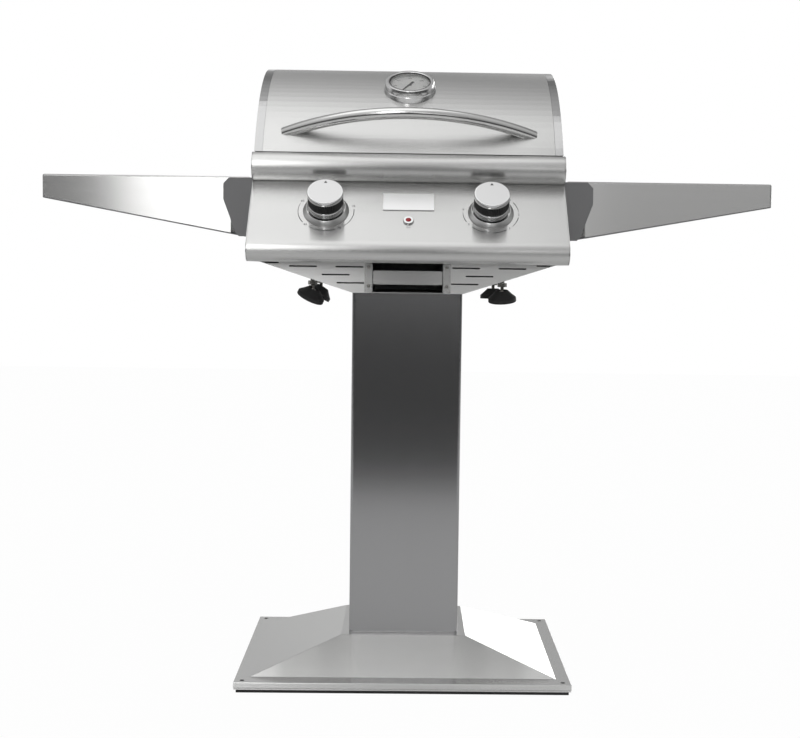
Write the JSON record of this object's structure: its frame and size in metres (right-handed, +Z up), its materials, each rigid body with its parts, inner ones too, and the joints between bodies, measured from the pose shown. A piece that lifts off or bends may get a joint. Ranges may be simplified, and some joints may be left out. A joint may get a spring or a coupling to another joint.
{
  "type": "electric grill",
  "caption": "Electric patio grill in stainless steel with a hinged lid, control knobs, lift-off side shelves and a drip tray, on a column with a hipped base.",
  "frame": {"origin": "on the ground, under the middle of the outline", "axes": "+X towards the thermostat knob's side, -Y towards the front with the knobs, +Z up"},
  "size_m": [1.25, 0.4536, 1.0781],
  "materials": {
    "stainless": "brushed along the length of each sheet",
    "dark_stainless": "brushed, darker",
    "polished_metal": "polished",
    "galvanised_steel": "galvanised sheet",
    "cast_iron": "enamelled matte black",
    "rubber": "matte",
    "black_plastic": "moulded, satin",
    "red_lens": "clear red",
    "white_dial": "matte white",
    "clear_glass": "clear"
  },
  "bodies": {
    "grill_body": {"base_cover": "stainless", "underbody_front": "stainless", "underbody_bottom": "stainless", "underbody_floor_right": "stainless", "underbody_floor_left": "stainless", "rear_panel": "stainless", "side_panel_right": "stainless", "side_panel_left": "stainless", "control_panel": "stainless", "front_rail": "stainless", "heating_element": "stainless", "tray_rail_right": "stainless", "tray_rail_left": "stainless", "shelf_bracket_right": "stainless", "shelf_bracket_left": "stainless", "hinge_bracket_right": "stainless", "hinge_bracket_left": "stainless", "badge_plate": "stainless", "column": "dark_stainless", "hinge_pin_right": "polished_metal", "hinge_pin_left": "polished_metal", "timer_bezel": "polished_metal", "thermostat_bezel": "polished_metal", "indicator_bezel": "polished_metal", "base_bottom_plate": "galvanised_steel", "column_foot_plate": "galvanised_steel", "column_top_plate": "galvanised_steel", "firebox_front": "galvanised_steel", "element_support": "galvanised_steel", "base_foot_ring": "rubber", "timer_unit": "black_plastic", "thermostat_unit": "black_plastic", "power_inlet": "black_plastic", "indicator_lens": "red_lens"},
    "lid": {"lid_shell": "stainless", "lid_end_right": "polished_metal", "lid_end_left": "polished_metal", "lid_handle": "stainless", "thermometer_case": "polished_metal", "thermometer_dial": "white_dial", "thermometer_glass": "clear_glass", "thermometer_probe": "stainless"},
    "needle": {"thermometer_needle": "black_plastic"},
    "timer_knob": {"timer_knob": "polished_metal", "timer_knob_grip": "black_plastic"},
    "thermostat_knob": {"thermostat_knob": "polished_metal", "thermostat_knob_grip": "black_plastic"},
    "drip_tray": {"drip_tray": "stainless"},
    "shelf_right": {"shelf_right": "stainless"},
    "shelf_left": {"shelf_left": "stainless"},
    "cooking_grate_right": {"cooking_grate_right": "cast_iron"},
    "cooking_grate_left": {"cooking_grate_left": "cast_iron"},
    "foot_stud_front_left": {"foot_stud_front_left": "polished_metal"},
    "foot_pad_front_left": {"foot_pad_front_left": "rubber"},
    "foot_stud_front_right": {"foot_stud_front_right": "polished_metal"},
    "foot_pad_front_right": {"foot_pad_front_right": "rubber"},
    "foot_stud_rear_left": {"foot_stud_rear_left": "polished_metal"},
    "foot_pad_rear_left": {"foot_pad_rear_left": "rubber"},
    "foot_stud_rear_right": {"foot_stud_rear_right": "polished_metal"},
    "foot_pad_rear_right": {"foot_pad_rear_right": "rubber"}
  },
  "joints": [
    {"name": "lid_hinge", "type": "hinge", "parent": "grill_body", "child": "lid", "pos_m": [0, 0.22075, 0.9119], "axis": [-1, 0, 0], "range_deg": [0, 85]},
    {"name": "needle_turn", "type": "hinge", "parent": "lid", "child": "needle", "pos_m": [0, -0.00116, 1.02519], "axis": [0, 0.5446, -0.8387], "range_deg": [0, 300]},
    {"name": "timer_turn", "type": "hinge", "parent": "grill_body", "child": "timer_knob", "pos_m": [-0.13805, -0.15911, 0.8037], "axis": [0, 0.7193, -0.6947], "range_deg": [0, 300]},
    {"name": "thermostat_turn", "type": "hinge", "parent": "grill_body", "child": "thermostat_knob", "pos_m": [0.13805, -0.15911, 0.8037], "axis": [0, 0.7193, -0.6947], "range_deg": [0, 280]},
    {"name": "tray_slide", "type": "slide", "parent": "grill_body", "child": "drip_tray", "axis": [0, -1, 0], "range_m": [0, 0.25]},
    {"name": "shelf_right_lift", "type": "slide", "parent": "grill_body", "child": "shelf_right", "axis": [0, 0, 1], "range_m": [0, 0.11]},
    {"name": "shelf_left_lift", "type": "slide", "parent": "grill_body", "child": "shelf_left", "axis": [0, 0, 1], "range_m": [0, 0.11]},
    {"name": "grate_right_lift", "type": "slide", "parent": "grill_body", "child": "cooking_grate_right", "axis": [0, 0, 1], "range_m": [0, 0.022]},
    {"name": "grate_left_lift", "type": "slide", "parent": "grill_body", "child": "cooking_grate_left", "axis": [0, 0, 1], "range_m": [0, 0.022]},
    {"name": "foot_height_front_left", "type": "slide", "parent": "grill_body", "child": "foot_stud_front_left", "axis": [0, 0, 1], "range_m": [-0.01, 0.0005]},
    {"name": "foot_tilt_front_left", "type": "hinge", "parent": "foot_stud_front_left", "child": "foot_pad_front_left", "pos_m": [-0.162, -0.11925, 0.66631], "axis": [0, 1, 0], "range_deg": [-61, 9]},
    {"name": "foot_height_front_right", "type": "slide", "parent": "grill_body", "child": "foot_stud_front_right", "axis": [0, 0, 1], "range_m": [-0.01, 0.0005]},
    {"name": "foot_tilt_front_right", "type": "hinge", "parent": "foot_stud_front_right", "child": "foot_pad_front_right", "pos_m": [0.162, -0.11925, 0.66631], "axis": [0, 1, 0], "range_deg": [-31, 39]},
    {"name": "foot_height_rear_left", "type": "slide", "parent": "grill_body", "child": "foot_stud_rear_left", "axis": [0, 0, 1], "range_m": [-0.01, 0.0005]},
    {"name": "foot_tilt_rear_left", "type": "hinge", "parent": "foot_stud_rear_left", "child": "foot_pad_rear_left", "pos_m": [-0.162, 0.12075, 0.66631], "axis": [0, 1, 0], "range_deg": [-68, 2]},
    {"name": "foot_height_rear_right", "type": "slide", "parent": "grill_body", "child": "foot_stud_rear_right", "axis": [0, 0, 1], "range_m": [-0.01, 0.0005]},
    {"name": "foot_tilt_rear_right", "type": "hinge", "parent": "foot_stud_rear_right", "child": "foot_pad_rear_right", "pos_m": [0.162, 0.12075, 0.66631], "axis": [0, 1, 0], "range_deg": [-35, 35]}
  ]
}
